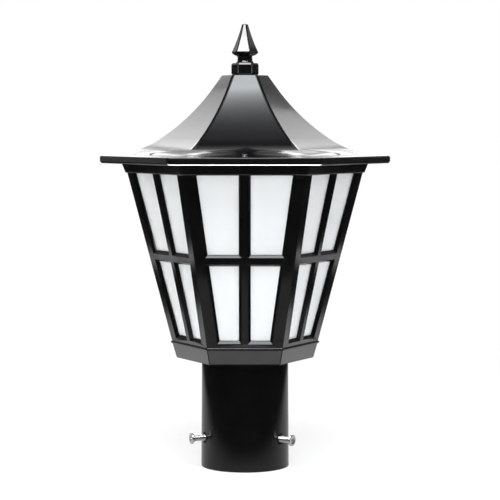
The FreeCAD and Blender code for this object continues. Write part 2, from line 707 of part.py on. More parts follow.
# Lamp bracket, lampholder and lamp
def lamp_bracket():
    """Folded strip with two feet on the tray floor and a table for the lampholder."""
    foot_out, table_out = BRACKET_SPAN / 2, BRACKET_TOP_WIDTH / 2
    upper = TRAY_FLOOR_TOP + BRACKET_SHEET
    line = [spot(-foot_out, upper), spot(-table_out, upper), spot(-table_out, BRACKET_TOP),
            spot(table_out, BRACKET_TOP), spot(table_out, upper), spot(foot_out, upper)]
    inside, outside = BRACKET_BEND, BRACKET_BEND + BRACKET_SHEET
    top_edges = rounded_path(line, [inside, outside, outside, inside])
    under = offset_path(line, BRACKET_SHEET)
    under_edges = rounded_path(under, [outside, inside, inside, outside])
    ends = [Part.makeLine(line[0], under[0]), Part.makeLine(line[-1], under[-1])]
    strip = closed_face(top_edges + under_edges + ends).extrude(X_AXIS * BRACKET_WIDTH)
    strip.translate(X_AXIS * -BRACKET_WIDTH / 2)
    hole = cylinder(SCREW_RADIUS + SCREW_CLEARANCE, FITTER_HEIGHT, upper + PAST, FITTER_SCREW_CIRCLE)
    cuts = around(hole, BRACKET_SCREW_COUNT)
    table_holes = cylinder(HOLDER_SCREW_RADIUS + THREAD_CLEARANCE, upper + PAST, BRACKET_TOP + PAST)
    bracket = strip.cut(cuts).rotated(ORIGIN, UP, BRACKET_ANGLE)
    return bracket.cut(holder_screw_places(table_holes))


def holder_screw_places(shape):
    return around(shape.translated(Y_AXIS * -HOLDER_SCREW_CIRCLE), HOLDER_SCREW_COUNT, BRACKET_ANGLE)


def lampholder_body():
    inner = HOLDER_RADIUS - HOLDER_WALL
    top = BRACKET_TOP + HOLDER_HEIGHT
    outline = [
        spot(0, BRACKET_TOP),
        spot(HOLDER_RADIUS - HOLDER_LIP, BRACKET_TOP),
        spot(HOLDER_RADIUS, BRACKET_TOP + HOLDER_LIP),
        spot(HOLDER_RADIUS, top - HOLDER_LIP),
        spot(HOLDER_RADIUS - HOLDER_LIP, top),
        spot(inner, top),
        spot(inner, HOLDER_FLOOR_TOP),
        spot(0, HOLDER_FLOOR_TOP),
    ]
    holes = holder_screw_places(cylinder(HOLDER_SCREW_RADIUS + SCREW_CLEARANCE, BRACKET_TOP - PAST, top))
    return turned(outline).cut(holes)


def lampholder_screws():
    tip = BRACKET_TOP - BRACKET_SHEET - HOLDER_HEAD_HEIGHT
    body = screw(HOLDER_SCREW_RADIUS, tip, HOLDER_FLOOR_TOP, HOLDER_HEAD_RADIUS, HOLDER_HEAD_HEIGHT)
    return Part.makeCompound(holder_screw_places(body))


def lampholder_shell():
    high = HOLDER_FLOOR_TOP + SHELL_HEIGHT
    tube = cylinder(SHELL_OUTER, HOLDER_FLOOR_TOP, high)
    return tube.cut(cylinder(SHELL_OUTER - SHELL_WALL, HOLDER_FLOOR_TOP - PAST, high + PAST))


def lampholder_contact():
    return cylinder(CONTACT_RADIUS, HOLDER_FLOOR_TOP, CONTACT_TOP)


def lamp():
    cap_top = CONTACT_TOP + CAP_HEIGHT
    glass_low = cap_top + LAMP_NECK_HEIGHT
    glass_high = glass_low + LAMP_GLASS_HEIGHT
    outline = [
        spot(0, CONTACT_TOP),
        spot(CONTACT_RADIUS, CONTACT_TOP),
        spot(CAP_RADIUS, CONTACT_TOP + CAP_TIP),
        spot(CAP_RADIUS, cap_top),
        spot(LAMP_RADIUS, glass_low),
        spot(LAMP_RADIUS, glass_high - LAMP_BEVEL),
        spot(LAMP_RADIUS - LAMP_BEVEL, glass_high),
        spot(0, glass_high),
    ]
    return turned(outline)


def build():
    """Every piece by its node's name."""
    outside = roof_outside()
    inserts = around(set_screw_insert(), SET_SCREW_COUNT, SET_SCREW_FIRST_ANGLE + 180)
    pieces = {
        "post_fitter": post_fitter(),
        "set_screw_inserts": Part.makeCompound(inserts),
        "base_tray": base_tray(),
        "fitter_screws": floor_screws(FITTER_SCREW_COUNT, FITTER_SCREW_FIRST_ANGLE, TRAY_FLOOR_TOP),
        "cable_grommet": cable_grommet(),
        "cage": cage(),
        "cage_screws": cage_screws(),
        "roof_gasket": roof_gasket(),
        "roof": roof(outside),
        "roof_screws": roof_screws(outside),
        "finial": finial(),
        "finial_nut": finial_nut(),
        "finial_stud": finial_stud(),
        "stud_washer": stud_washer(),
        "stud_nut": stud_nut(),
        "lamp_bracket": lamp_bracket(),
        "bracket_screws": floor_screws(BRACKET_SCREW_COUNT, BRACKET_ANGLE, TRAY_FLOOR_TOP + BRACKET_SHEET),
        "lampholder_body": lampholder_body(),
        "lampholder_shell": lampholder_shell(),
        "lampholder_contact": lampholder_contact(),
        "lampholder_screws": lampholder_screws(),
        "lamp": lamp(),
    }
    screws = around(set_screw(), SET_SCREW_COUNT, SET_SCREW_FIRST_ANGLE + 180)
    for number, turned_screw in enumerate(screws, 1):
        pieces[f"set_screw_{number}"] = turned_screw
    for number, turned_pane in enumerate(around(pane()), 1):
        pieces[f"pane_{number}"] = turned_pane
    return pieces


def main():
    os.makedirs("parts", exist_ok=True)
    for name, shape in build().items():
        shape.exportStep(f"parts/{name}.step")
        print(name, len(shape.Solids), "solids", round(shape.Volume / 1000, 2), "cm3", shape.isValid())


main()
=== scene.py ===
import json
import math

import bmesh
import bpy
from mathutils import Matrix, Vector


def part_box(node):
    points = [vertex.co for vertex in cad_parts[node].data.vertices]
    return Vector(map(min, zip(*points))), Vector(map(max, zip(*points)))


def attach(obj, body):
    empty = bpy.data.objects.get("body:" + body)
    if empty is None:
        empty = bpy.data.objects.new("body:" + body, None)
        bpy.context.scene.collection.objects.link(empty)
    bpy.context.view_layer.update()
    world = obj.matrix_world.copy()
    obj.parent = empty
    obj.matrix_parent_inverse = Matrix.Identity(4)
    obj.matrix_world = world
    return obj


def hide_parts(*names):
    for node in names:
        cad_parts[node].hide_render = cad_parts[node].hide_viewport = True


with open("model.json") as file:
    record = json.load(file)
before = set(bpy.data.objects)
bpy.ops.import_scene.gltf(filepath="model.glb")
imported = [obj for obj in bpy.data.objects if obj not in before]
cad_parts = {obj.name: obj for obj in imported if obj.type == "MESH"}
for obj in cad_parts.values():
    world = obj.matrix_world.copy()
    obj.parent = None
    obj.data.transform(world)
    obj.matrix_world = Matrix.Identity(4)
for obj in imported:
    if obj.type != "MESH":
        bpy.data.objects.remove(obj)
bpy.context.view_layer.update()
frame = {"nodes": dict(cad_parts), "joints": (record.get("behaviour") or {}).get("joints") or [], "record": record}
scene = bpy.context.scene
scene.view_settings.view_transform = "Standard"

MM = 0.001
SIDES = 6
FULL_TURN = 2 * math.pi

# Camera, in the photograph's 500 x 500 frame
IMAGE_SIZE = 500
FOCAL_PIXELS = 1800.0
SENSOR = 36.0
CAMERA_PLACE = Vector((0.0047, -1.6915, 0.31967))
CAMERA_PITCH = math.radians(3.909)

# Floor and surroundings, as the camera, the even light and reflections find them
WHITE = 1.0
AMBIENT = 0.28
FLOOR_RADIUS = 9.0
FLOOR_SEGMENTS = 96
FLOOR_ALBEDO = 0.75
FLOOR_SHOWN_ALBEDO = 0.45
FLOOR_GLOW = 0.6
FLOOR_SHADOW_REACH = (0.35, 0.9)
FLOOR_MIRROR_CENTRE = (0.0, 0.35, 0.0)
FLOOR_MIRROR_REACH = (0.34, 0.54)
FLOOR_MIRROR_GLOW = 0.6
FLOOR_FLAG_GLOW = 0.03
BACKDROP_HEIGHT = math.radians(14)
BACKDROP_REACH = (math.radians(24), math.radians(50))
BACKDROP_GLOW = 1.0
FLAG_GLOW = 0.08

# Lamps
LIT_POINT = Vector((0.0, 0.0, 0.22))
LAMP_DISTANCE = 1.6
STRIP_HEIGHT = 0.005
SHEET_PLACE = (0.0, -0.375, 1.3)
SHEET_SIZE = (0.9, 1.45)
SHEET_TINT = (0.94, 0.975, 1.0)
SHEET_LEVEL = 0.55
SHEET_FALL = 6.8
SHEET_MOST = 14.5
SHEET_EDGE = (-0.68, -0.54)
SHEET_EDGE_SHARE = 0.45

# Part of a noise's range that is spread between a material's two limits
NOISE_RANGE = (0.3, 0.7)

# Metals: darkest and lightest colour
NICKEL = ((0.68, 0.68, 0.67), (0.84, 0.84, 0.83))
ZINC = ((0.50, 0.51, 0.53), (0.66, 0.67, 0.68))
BRASS = ((0.62, 0.46, 0.20), (0.78, 0.61, 0.31))

# Rounding of the mouldings' edges; angles are in degrees
ROUND_ANGLE = 22
ROUND_SEGMENTS = 3
RIDGE_PLANE = 0.04
RIDGE_SLOPE = 0.03
STEEPEST_RIDGE = 0.98
WELD_DISTANCE = 0.01 * MM

# Collar under the finial
COLLAR_CHAMFER = 1.5 * MM
COLLAR_INSET = 0.87 * MM
COLLAR_HOLE_RADIUS = 3.05 * MM
COLLAR_CORNER = 1.13
COLLAR_SEGMENTS = 120
NECK_FOOT_RADIUS = 7.45 * MM
NECK_FILLET = 0.85 * MM
NECK_FILLET_LOW = 0.7 * MM
NECK_FILLET_HIGH = 2.1 * MM

# Set screws
SET_SEGMENTS = 60
SET_HEAD_HEIGHT = 3.6 * MM
SET_HEAD_CONE = 2.2 * MM
SET_HEAD_CROWN = 0.9 * MM
SET_SHANK_RADIUS = 2.9 * MM
SET_TIP_INSET = 0.3 * MM
SET_THREAD_PITCH = 1.0 * MM
SET_THREAD_DEPTH = 0.25 * MM
THREAD_STEPS = 10
THREAD_ROOT = 0.15
THREAD_CREST = 0.8
SOCKET_FLATS = 4.0 * MM
SOCKET_DEPTH = 2.4 * MM
SOCKET_CHAMFER = 0.2 * MM
SOCKET_POINT = 0.4 * MM
SOCKET_POINT_RADIUS = SOCKET_FLATS / 6

# Roof screws
ROOF_SCREW_SEGMENTS = 96
ROOF_HEAD_RADIUS = 2.8 * MM
ROOF_HEAD_HEIGHT = 2.2 * MM
ROOF_DOME_HEIGHT = 1.0 * MM
ROOF_SHANK_RADIUS = 1.5 * MM
ROOF_TIP_CHAMFER = 0.6 * MM
CROSS_RIM = 0.1 * MM
CROSS_REACH = 1.5 * MM
CROSS_HALF_WIDTH = 0.4 * MM
CROSS_DEPTH = 0.7 * MM
CROSS_FOOT_REACH = 0.75 * MM
CROSS_FOOT_HALF_WIDTH = 0.28 * MM

# Lamp
LAMP_CAP_HEIGHT = 25.0 * MM


# Shader helpers
def add_node(tree, kind, **settings):
    node = tree.nodes.new(kind)
    for name, value in settings.items():
        setattr(node, name, value)
    return node


def math_node(tree, operation, *values, clamp=False):
    node = add_node(tree, "ShaderNodeMath", operation=operation, use_clamp=clamp)
    for socket, value in zip(node.inputs, values):
        if isinstance(value, float):
            socket.default_value = value
        else:
            tree.links.new(value, socket)
    return node.outputs["Value"]


def noise(tree, scale, detail=2.0):
    """Noise over the object's own coordinates, in features per metre."""
    place = add_node(tree, "ShaderNodeTexCoord")
    texture = add_node(tree, "ShaderNodeTexNoise")
    texture.inputs["Scale"].default_value = scale
    texture.inputs["Detail"].default_value = detail
    tree.links.new(place.outputs["Object"], texture.inputs["Vector"])
    return texture.outputs[0]


def map_range(tree, source, first, last, low, high, **settings):
    """A value carried from one range to another."""
    node = add_node(tree, "ShaderNodeMapRange", **settings)
    for socket, value in zip(("From Min", "From Max", "To Min", "To Max"), (first, last, low, high)):
        node.inputs[socket].default_value = value
    tree.links.new(source, node.inputs["Value"])
    return node.outputs["Result"]


def smooth_range(tree, source, first, last, low, high):
    return map_range(tree, source, first, last, low, high, interpolation_type="SMOOTHSTEP")


def tint(tree, source, dark, light):
    """A colour between two limits, picked by a noise value."""
    ramp = add_node(tree, "ShaderNodeValToRGB")
    first, last = ramp.color_ramp.elements
    first.position, last.position = NOISE_RANGE
    first.color, last.color = (*dark, 1.0), (*light, 1.0)
    tree.links.new(source, ramp.inputs["Fac"])
    return ramp.outputs["Color"]


def bumps(tree, layers):
    """Stacked bumps, each a noise value and its height in metres."""
    normal = None
    for source, height in layers:
        node = add_node(tree, "ShaderNodeBump")
        node.inputs["Strength"].default_value = 1.0
        node.inputs["Distance"].default_value = height
        tree.links.new(source, node.inputs["Height"])
        if normal:
            tree.links.new(normal, node.inputs["Normal"])
        normal = node.outputs["Normal"]
    return normal


def surface(name, colours, colour_noise, roughness, rough_noise, bump_layers, **sockets):
    """Principled material with its colour, roughness and relief from noise."""
    material = bpy.data.materials.new(name)
    material.use_nodes = True
    tree = material.node_tree
    shader = tree.nodes["Principled BSDF"]
    for socket, value in sockets.items():
        shader.inputs[socket.replace("_", " ")].default_value = value
    colour = tint(tree, noise(tree, **colour_noise), *colours)
    rough = map_range(tree, noise(tree, **rough_noise), *NOISE_RANGE, *roughness)
    layers = [(noise(tree, **texture), height) for texture, height in bump_layers]
    tree.links.new(colour, shader.inputs["Base Color"])
    tree.links.new(rough, shader.inputs["Roughness"])
    tree.links.new(bumps(tree, layers), shader.inputs["Normal"])
    return material


# Materials
def black_moulding():
    """Glossy black moulding with a faint orange peel and slow waves from cooling."""
    peel = dict(scale=700.0, detail=1.0)
    waves = dict(scale=24.0, detail=0.0)
    return surface(
        "moulded_black",
        colours=((0.002, 0.002, 0.0022), (0.0038, 0.0038, 0.004)),
        colour_noise=dict(scale=45.0),
        roughness=(0.08, 0.14),
        rough_noise=dict(scale=60.0, detail=4.0),
        bump_layers=[(peel, 0.002 * MM), (waves, 0.06 * MM)],
        IOR=1.53,
    )


def matt_steel():
    """Dull black of the clamp inserts."""
    return surface(
        "matt_black_steel",
        colours=((0.002, 0.002, 0.002), (0.004, 0.004, 0.004)),
        colour_noise=dict(scale=300.0),
        roughness=(0.5, 0.65),
        rough_noise=dict(scale=500.0, detail=3.0),
        bump_layers=[(dict(scale=900.0), 0.004 * MM)],
        IOR=1.2,
    )


def black_steel():
    """Blackened steel of the roof screws."""
    return surface(
        "blackened_steel",
        colours=((0.003, 0.003, 0.0032), (0.007, 0.0068, 0.0066)),
        colour_noise=dict(scale=300.0),
        roughness=(0.1, 0.18),
        rough_noise=dict(scale=500.0, detail=3.0),
        bump_layers=[(dict(scale=900.0), 0.004 * MM)],
        IOR=1.7,
    )


def plated(name, dark, light, roughness):
    """Plated metal with a fine grain."""
    return surface(
        name,
        colours=(dark, light),
        colour_noise=dict(scale=220.0, detail=3.0),
        roughness=roughness,
        rough_noise=dict(scale=400.0, detail=3.0),
        bump_layers=[(dict(scale=1500.0, detail=1.0), 0.006 * MM)],
        Metallic=1.0,
    )


def rubber():
    return surface(
        "rubber",
        colours=((0.012, 0.012, 0.012), (0.03, 0.03, 0.03)),
        colour_noise=dict(scale=120.0),
        roughness=(0.6, 0.8),
        rough_noise=dict(scale=200.0),
        bump_layers=[(dict(scale=1200.0), 0.05 * MM)],
    )


def opal():
    """Opal acrylic that lets some light through."""
    return surface(
        "opal_acrylic",
        colours=((0.905, 0.925, 0.935), (0.94, 0.955, 0.96)),
        colour_noise=dict(scale=18.0, detail=1.0),
        roughness=(0.14, 0.2),
        rough_noise=dict(scale=30.0),
        bump_layers=[(dict(scale=30.0, detail=0.0), 0.03 * MM)],
        Subsurface_Weight=0.3,
        Subsurface_Scale=3.0 * MM,
        Subsurface_Radius=(1.0, 1.0, 1.0),
    )


def glazed():
    """White glazed lampholder."""
    return surface(
        "white_glaze",
        colours=((0.80, 0.79, 0.76), (0.87, 0.86, 0.83)),
        colour_noise=dict(scale=80.0),
        roughness=(0.18, 0.3),
        rough_noise=dict(scale=150.0),
        bump_layers=[(dict(scale=300.0), 0.02 * MM)],
    )


def lamp_skin():
    """Frosted lamp with a brass cap at its foot."""
    material = surface(
        "frosted_lamp",
        colours=((0.88, 0.88, 0.86), (0.93, 0.93, 0.91)),
        colour_noise=dict(scale=60.0),
        roughness=(0.35, 0.5),
        rough_noise=dict(scale=300.0),
        bump_layers=[(dict(scale=1500.0), 0.01 * MM)],
    )
    tree = material.node_tree
    shader = tree.nodes["Principled BSDF"]
    place = add_node(tree, "ShaderNodeTexCoord")
    height = add_node(tree, "ShaderNodeSeparateXYZ")
    tree.links.new(place.outputs["Object"], height.inputs[0])
    cap_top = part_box("lamp")[0].z + LAMP_CAP_HEIGHT
    cap = math_node(tree, "LESS_THAN", height.outputs["Z"], cap_top)
    skin = add_node(tree, "ShaderNodeMix", data_type="RGBA")
    glass = shader.inputs["Base Color"].links[0].from_socket
    brass = tint(tree, noise(tree, scale=200.0), *BRASS)
    tree.links.new(cap, skin.inputs["Factor"])
    tree.links.new(glass, skin.inputs["A"])
    tree.links.new(brass, skin.inputs["B"])
    tree.links.new(skin.outputs["Result"], shader.inputs["Base Color"])
    tree.links.new(cap, shader.inputs["Metallic"])
    return material


MATERIALS = {
    "black_moulding": black_moulding(),
    "black_steel": black_steel(),
    "bright_screw": plated("bright_nickel", *NICKEL, roughness=(0.1, 0.2)),
    "zinc_steel": plated("zinc_plate", *ZINC, roughness=(0.28, 0.45)),
    "black_rubber": rubber(),
    "opal_pane": opal(),
    "white_holder": glazed(),
    "lamp_brass": plated("lamp_brass", *BRASS, roughness=(0.2, 0.35)),
    "lamp_white": lamp_skin(),
}


def dress_nodes():
    """Each node takes its slot's material, but the clamp inserts are duller than the other black steel."""
    for part in frame["record"]["subparts"]:
        node = frame["nodes"][part["node"]]
        node.material_slots[0].material = MATERIALS[part["material_slot"]]
    frame["nodes"]["set_screw_inserts"].material_slots[0].material = matt_steel()


# Edge rounding, by modifiers that leave the nodes' own meshes alone
def ridge_edges(tree, length):
    """Sloping edges whose ends both lie on the planes through the hexagon's corners."""
    ends = add_node(tree, "GeometryNodeInputMeshEdgeVertices")
    off_plane, heights = [], []
    for output in ("Position 1", "Position 2"):
        place = add_node(tree, "ShaderNodeSeparateXYZ")
        tree.links.new(ends.outputs[output], place.inputs[0])
        compass = math_node(tree, "ARCTAN2", place.outputs["Y"], place.outputs["X"])
        turns = math_node(tree, "SINE", math_node(tree, "MULTIPLY", compass, SIDES / 2))
        off_plane.append(math_node(tree, "ABSOLUTE", turns))
        heights.append(place.outputs["Z"])
    on_plane = math_node(tree, "LESS_THAN", math_node(tree, "ADD", *off_plane), RIDGE_PLANE)
    rise = math_node(tree, "ABSOLUTE", math_node(tree, "SUBTRACT", *heights))
    slope = math_node(tree, "DIVIDE", rise, length)
    over = math_node(tree, "GREATER_THAN", slope, RIDGE_SLOPE)
    under = math_node(tree, "LESS_THAN", slope, STEEPEST_RIDGE)
    return math_node(tree, "MULTIPLY", on_plane, math_node(tree, "MULTIPLY", over, under))


def edge_length(tree):
    ends = add_node(tree, "GeometryNodeInputMeshEdgeVertices")
    length = add_node(tree, "ShaderNodeVectorMath", operation="DISTANCE")
    tree.links.new(ends.outputs["Position 1"], length.inputs[0])
    tree.links.new(ends.outputs["Position 2"], length.inputs[1])
    return length.outputs["Value"]


def edge_weight(tree, least_length, plain_share):
    """How far an edge is rounded: long ones by the plain share, and ridges in full."""
    length = edge_length(tree)
    long_enough = math_node(tree, "GREATER_THAN", length, least_length)
    weight = math_node(tree, "MULTIPLY", long_enough, plain_share)
    if plain_share < 1:
        weight = math_node(tree, "MAXIMUM", weight, ridge_edges(tree, length))
    return weight


def edge_marker(least_length, plain_share, sharp_from):
    """Geometry nodes that drop the stored normals and weigh the sharp edges for the bevel."""
    tree = bpy.data.node_groups.new("mark_sharp_edges", "GeometryNodeTree")
    tree.interface.new_socket("Geometry", in_out="INPUT", socket_type="NodeSocketGeometry")
    tree.interface.new_socket("Geometry", in_out="OUTPUT", socket_type="NodeSocketGeometry")
    start = add_node(tree, "NodeGroupInput")
    end = add_node(tree, "NodeGroupOutput")
    angle = add_node(tree, "GeometryNodeInputMeshEdgeAngle")
    sharp = math_node(tree, "GREATER_THAN", angle.outputs["Unsigned Angle"], math.radians(sharp_from))
    weight = edge_weight(tree, least_length, plain_share)
    normals = add_node(tree, "GeometryNodeSetMeshNormal", mode="SHARPNESS")
    store = add_node(tree, "GeometryNodeStoreNamedAttribute", data_type="FLOAT", domain="EDGE")
    store.inputs["Name"].default_value = "bevel_weight_edge"
    links = tree.links
    links.new(start.outputs["Geometry"], normals.inputs["Mesh"])
    links.new(sharp, normals.inputs["Edge Sharpness"])
    links.new(normals.outputs["Mesh"], store.inputs["Geometry"])
    links.new(math_node(tree, "MULTIPLY", sharp, weight), store.inputs["Value"])
    links.new(store.outputs["Geometry"], end.inputs["Geometry"])
    return tree


def round_edges(node_name, width, least_length, plain_share=1.0, sharp_from=ROUND_ANGLE):
    node = frame["nodes"][node_name]
    weld = node.modifiers.new("weld", "WELD")
    weld.merge_threshold = WELD_DISTANCE
    marker = node.modifiers.new("marker", "NODES")
    marker.node_group = edge_marker(least_length, plain_share, sharp_from)
    rounding = node.modifiers.new("rounding", "BEVEL")
    rounding.limit_method = "WEIGHT"
    rounding.width = width
    rounding.segments = ROUND_SEGMENTS
    rounding.use_clamp_overlap = False
    rounding.loop_slide = False
    rounding.miter_outer = "MITER_ARC"
    weighted = node.modifiers.new("weighted", "WEIGHTED_NORMAL")
    weighted.keep_sharp = True


def round_mouldings():
    round_edges("roof", width=1.8 * MM, least_length=2.0 * MM, plain_share=0.4)
    round_edges("cage", width=0.3 * MM, least_length=4.0 * MM, sharp_from=30)
    round_edges("base_tray", width=0.5 * MM, least_length=4.0 * MM, plain_share=0.0, sharp_from=8)
    round_edges("finial", width=0.8 * MM, least_length=1.0 * MM)


# Turned and threaded pieces: a ring is a height and the radius at each angle
def ring(height, radius):
    return height, lambda angle: radius


def hexagon_ring(height, apothem, corner=math.inf):
    """A hexagon whose corners may be cut, at a share of its apothem."""
    sector = FULL_TURN / SIDES

    def radius(angle):
        off_flat = (angle + sector / 2) % sector - sector / 2
        return apothem * min(corner, 1 / math.cos(off_flat))

    return height, radius


def cross_ring(height, reach, half_width):
    """A plus sign: the further edge of two crossed bars at each angle."""
    def radius(angle):
        near, far = sorted((abs(math.cos(angle)), abs(math.sin(angle))))
        return reach / far if near * reach < half_width * far else half_width / near

    return height, radius


def thread_ring(height):
    """A slice through the set screws' thread, which turns as it climbs."""
    def radius(angle):
        wave = abs(2 * ((height / SET_THREAD_PITCH - angle / FULL_TURN) % 1) - 1)
        share = (THREAD_CREST - wave) / (THREAD_CREST - THREAD_ROOT)
        return SET_SHANK_RADIUS - SET_THREAD_DEPTH * min(1, max(0, share))

    return height, radius


def crown_rings(low, high, radius, crown_radius, steps=8):
    """The round shoulder of a screw's head."""
    rings = []
    for step in range(steps + 1):
        turn = math.pi / 2 * step / steps
        out = crown_radius + (radius - crown_radius) * math.cos(turn)
        rings.append(ring(low + (high - low) * math.sin(turn), out))
    return rings


def loft(mesh, rings, segments, placement, hollow=False):
    """Adds a skin through the rings to a mesh, capped at both ends or, if hollow, back to its first ring."""
    loops = []
    for height, radius_at in rings:
        loop = []
        for step in range(segments):
            angle = FULL_TURN * step / segments
            radius = radius_at(angle)
            point = Vector((radius * math.cos(angle), radius * math.sin(angle), height))
            loop.append(mesh.verts.new(placement @ point))
        loops.append(loop)
    for low, high in zip(loops, loops[1:] + loops[:1] if hollow else loops[1:]):
        for step in range(segments):
            after = (step + 1) % segments
            mesh.faces.new((low[step], low[after], high[after], high[step]))
    if hollow:
        return
    first = mesh.verts.new(placement @ Vector((0, 0, rings[0][0])))
    last = mesh.verts.new(placement @ Vector((0, 0, rings[-1][0])))
    for step in range(segments):
        after = (step + 1) % segments
        mesh.faces.new((first, loops[0][after], loops[0][step]))
        mesh.faces.new((last, loops[-1][step], loops[-1][after]))


def finish_piece(mesh, name, body, slot, node, sharp_from=40):
    """Turns a mesh into a piece that rides a body and stands in for a CAD node."""
    data = bpy.data.meshes.new(name)
    mesh.to_mesh(data)
    mesh.free()
    data.shade_smooth()
    data.set_sharp_from_angle(angle=math.radians(sharp_from))
    piece = bpy.data.objects.new(name, data)
    scene.collection.objects.link(piece)
    data.materials.append(MATERIALS[slot])
    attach(piece, body)
    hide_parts(node)
    return piece


def along(node_name, direction):
    """Lowest and highest reach of a node along a direction."""
    reach = [vertex.co.dot(direction) for vertex in frame["nodes"][node_name].data.vertices]
    return min(reach), max(reach)


def socket_rings(crown):
    """A hexagon socket sunk into a screw's crown."""
    flat = SOCKET_FLATS / 2
    return [
        ring(crown, flat / math.cos(math.pi / SIDES) + SOCKET_CHAMFER),
        hexagon_ring(crown - SOCKET_CHAMFER, flat),
        hexagon_ring(crown - SOCKET_DEPTH, flat),
        ring(crown - SOCKET_DEPTH - SOCKET_POINT, SOCKET_POINT_RADIUS),
    ]


def set_screw(joint):
    """Threaded screw with a trumpet head and a hexagon socket, lying along its joint's axis."""
    node_name = joint["child"]
    outward = -Vector(joint["axis"]).normalized()
    low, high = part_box(node_name)
    tip, crown = along(node_name, outward)
    head = (high.z - low.z) / 2
    seat = crown - SET_HEAD_HEIGHT
    level = Matrix.Translation((0, 0, (low.z + high.z) / 2))
    placement = level @ outward.to_track_quat("Z", "X").to_matrix().to_4x4()
    rise = SET_THREAD_PITCH / THREAD_STEPS
    rings = [ring(tip, SET_SHANK_RADIUS - SET_TIP_INSET)]
    for step in range(1, round((seat - tip) / rise)):
        rings.append(thread_ring(tip + step * rise))
    rings.append(ring(seat, SET_SHANK_RADIUS))
    rings.append(ring(seat + SET_HEAD_CONE, head))
    rings += crown_rings(crown - SET_HEAD_CROWN, crown, head, head - SET_HEAD_CROWN)
    rings += socket_rings(crown)
    mesh = bmesh.new()
    loft(mesh, rings, SET_SEGMENTS, placement)
    return finish_piece(mesh, f"{node_name}_threaded", node_name, "bright_screw", node_name)


def roof_screws():
    """Six screws with a low domed head and a cross recess, one over the middle of each face."""
    low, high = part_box("roof_screws")
    seat = high.z - ROOF_HEAD_HEIGHT
    top = seat + ROOF_DOME_HEIGHT
    out = low.y + ROOF_HEAD_RADIUS
    rings = [
        ring(low.z, ROOF_SHANK_RADIUS - ROOF_TIP_CHAMFER),
        ring(low.z + ROOF_TIP_CHAMFER, ROOF_SHANK_RADIUS),
        ring(seat, ROOF_SHANK_RADIUS),
    ]
    rings += crown_rings(seat, top, ROOF_HEAD_RADIUS, CROSS_REACH + CROSS_RIM)
    rings.append(cross_ring(top, CROSS_REACH, CROSS_HALF_WIDTH))
    rings.append(cross_ring(top - CROSS_DEPTH, CROSS_FOOT_REACH, CROSS_FOOT_HALF_WIDTH))
    mesh = bmesh.new()
    for step in range(SIDES):
        turn = Matrix.Rotation(FULL_TURN * step / SIDES, 4, "Z")
        loft(mesh, rings, ROOF_SCREW_SEGMENTS, turn @ Matrix.Translation((0, out, 0)))
    return finish_piece(mesh, "roof_screws_crossed", "lantern", "black_steel", "roof_screws")


def collar():
    """Hexagonal collar with chamfered ends and a fillet round the finial's neck."""
    low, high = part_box("finial_nut")
    apothem = (high.y - low.y) / 2
    rings = [
        ring(low.z, COLLAR_HOLE_RADIUS),
        hexagon_ring(low.z, apothem - COLLAR_INSET, COLLAR_CORNER),
        hexagon_ring(low.z + COLLAR_CHAMFER, apothem, COLLAR_CORNER),
        hexagon_ring(high.z - COLLAR_CHAMFER, apothem, COLLAR_CORNER),
        hexagon_ring(high.z, apothem - COLLAR_INSET, COLLAR_CORNER),
        ring(high.z, NECK_FOOT_RADIUS + NECK_FILLET),
        ring(high.z + NECK_FILLET_LOW, NECK_FOOT_RADIUS + NECK_FILLET),
        ring(high.z + NECK_FILLET_HIGH, NECK_FOOT_RADIUS),
        ring(high.z, NECK_FOOT_RADIUS),
        ring(high.z, COLLAR_HOLE_RADIUS),
    ]
    mesh = bmesh.new()
    loft(mesh, rings, COLLAR_SEGMENTS, Matrix.Rotation(math.pi / SIDES, 4, "Z"), hollow=True)
    return finish_piece(
        mesh, "finial_nut_chamfered", "lantern", "black_moulding", "finial_nut", sharp_from=20)


# Floor and surroundings
def mix_shaders(tree, factor, one, two):
    node = add_node(tree, "ShaderNodeMixShader")
    tree.links.new(factor, node.inputs[0])
    tree.links.new(one, node.inputs[1])
    tree.links.new(two, node.inputs[2])
    return node.outputs["Shader"]


def glow(tree, kind, strength):
    node = add_node(tree, kind)
    node.inputs["Color"].default_value = (1, 1, 1, 1)
    if isinstance(strength, float):
        node.inputs["Strength"].default_value = strength
    else:
        tree.links.new(strength, node.inputs["Strength"])
    return node.outputs[0]


def matt(tree, albedo):
    node = add_node(tree, "ShaderNodeBsdfDiffuse")
    node.inputs["Color"].default_value = (albedo, albedo, albedo, 1)
    return node.outputs["BSDF"]


def floor_distance(tree, centre):
    place = add_node(tree, "ShaderNodeNewGeometry")
    distance = add_node(tree, "ShaderNodeVectorMath", operation="DISTANCE")
    distance.inputs[1].default_value = centre
    tree.links.new(place.outputs["Position"], distance.inputs[0])
    return distance.outputs["Value"]


def by_ray(tree, even, shown, mirrored_look):
    """One shader for the even light, one for the camera and clear glass, and one for reflections."""
    ray = add_node(tree, "ShaderNodeLightPath").outputs
    seen = math_node(tree, "ADD", ray["Is Camera Ray"], ray["Is Transmission Ray"], clamp=True)
    base = mix_shaders(tree, seen, even, shown)
    return mix_shaders(tree, ray["Is Glossy Ray"], base, mirrored_look)


